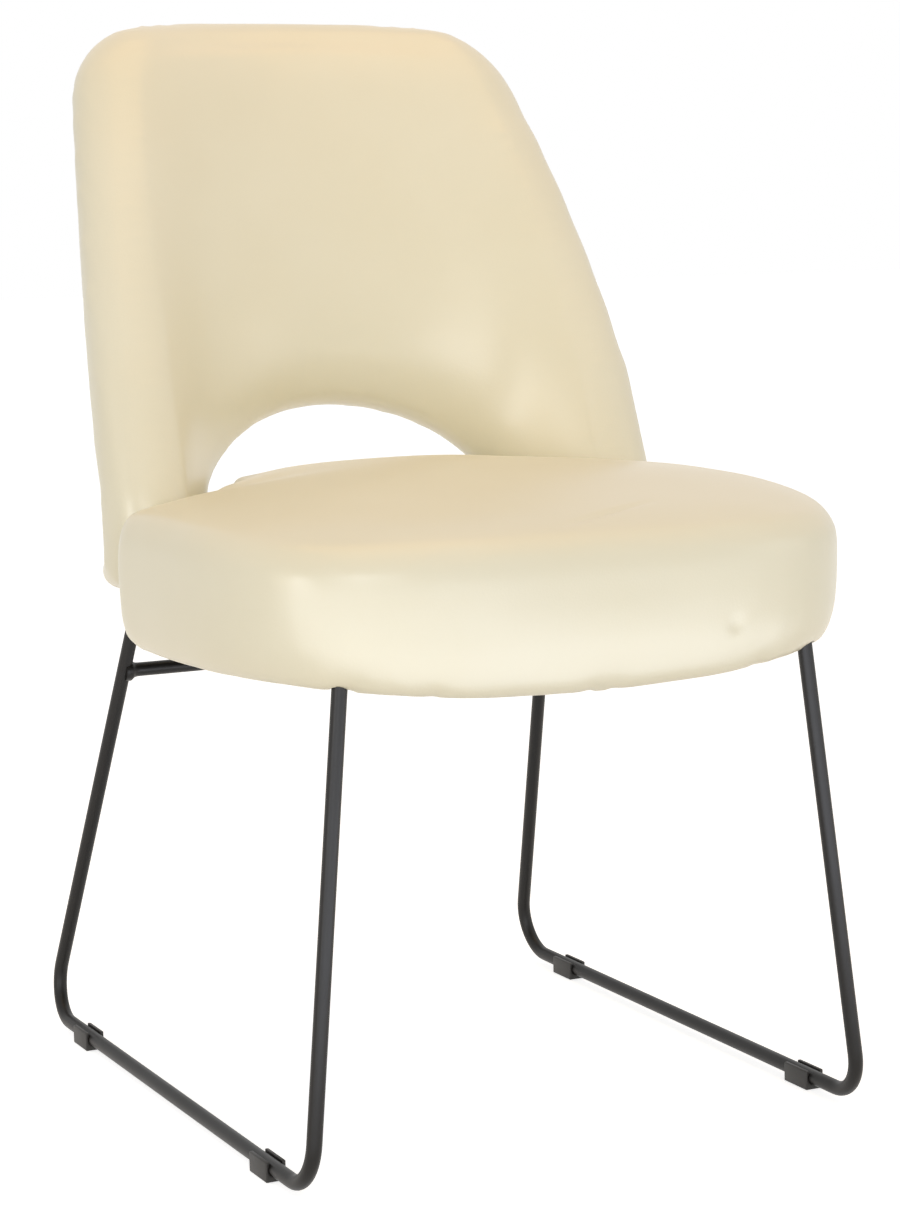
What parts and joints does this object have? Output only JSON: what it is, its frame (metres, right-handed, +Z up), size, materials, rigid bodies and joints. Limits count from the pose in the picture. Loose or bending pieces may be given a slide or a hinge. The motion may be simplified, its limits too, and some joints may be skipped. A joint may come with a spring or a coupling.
{
  "type": "dining chair",
  "caption": "Upholstered dining chair with a padded wrap-round back over an open arch, a deep crowned seat and a bent steel rod sled frame.",
  "frame": {"origin": "on the floor, under the middle of the chair's outline seen from above", "axes": "+Z up, the sitter faces -Y, +X to the right as seen by someone facing the chair's front"},
  "size_m": [0.494, 0.5982, 0.8124],
  "materials": {
    "black_powder_coat": "satin powder coat",
    "black_plastic": "matt moulded",
    "cream_vinyl": "smooth semi-matt upholstery vinyl over foam",
    "plywood": "unfinished birch plywood",
    "black_dust_cloth": "non-woven cloth",
    "zinc_plate": "bright zinc plate"
  },
  "bodies": {
    "root": {"back_core": "plywood", "back_outer_panel": "cream_vinyl", "back_pad": "cream_vinyl", "dust_cover": "black_dust_cloth", "front_left_glide": "black_plastic", "front_left_seat_bolt": "zinc_plate", "front_left_seat_tee_nut": "zinc_plate", "front_mounting_bar": "black_powder_coat", "front_right_glide": "black_plastic", "front_right_seat_bolt": "zinc_plate", "front_right_seat_tee_nut": "zinc_plate", "left_back_bracket": "black_powder_coat", "left_bracket_inner_bolt": "zinc_plate", "left_bracket_inner_tee_nut": "zinc_plate", "left_bracket_outer_bolt": "zinc_plate", "left_bracket_outer_tee_nut": "zinc_plate", "left_lower_bracket_screw": "zinc_plate", "left_sled_rod": "black_powder_coat", "left_upper_bracket_screw": "zinc_plate", "rear_cross_bar": "black_powder_coat", "rear_left_glide": "black_plastic", "rear_left_seat_bolt": "zinc_plate", "rear_left_seat_tee_nut": "zinc_plate", "rear_mounting_bar": "black_powder_coat", "rear_right_glide": "black_plastic", "rear_right_seat_bolt": "zinc_plate", "rear_right_seat_tee_nut": "zinc_plate", "right_back_bracket": "black_powder_coat", "right_bracket_inner_bolt": "zinc_plate", "right_bracket_inner_tee_nut": "zinc_plate", "right_bracket_outer_bolt": "zinc_plate", "right_bracket_outer_tee_nut": "zinc_plate", "right_lower_bracket_screw": "zinc_plate", "right_sled_rod": "black_powder_coat", "right_upper_bracket_screw": "zinc_plate", "seat_base": "plywood", "seat_cushion": "cream_vinyl"}
  },
  "joints": []
}
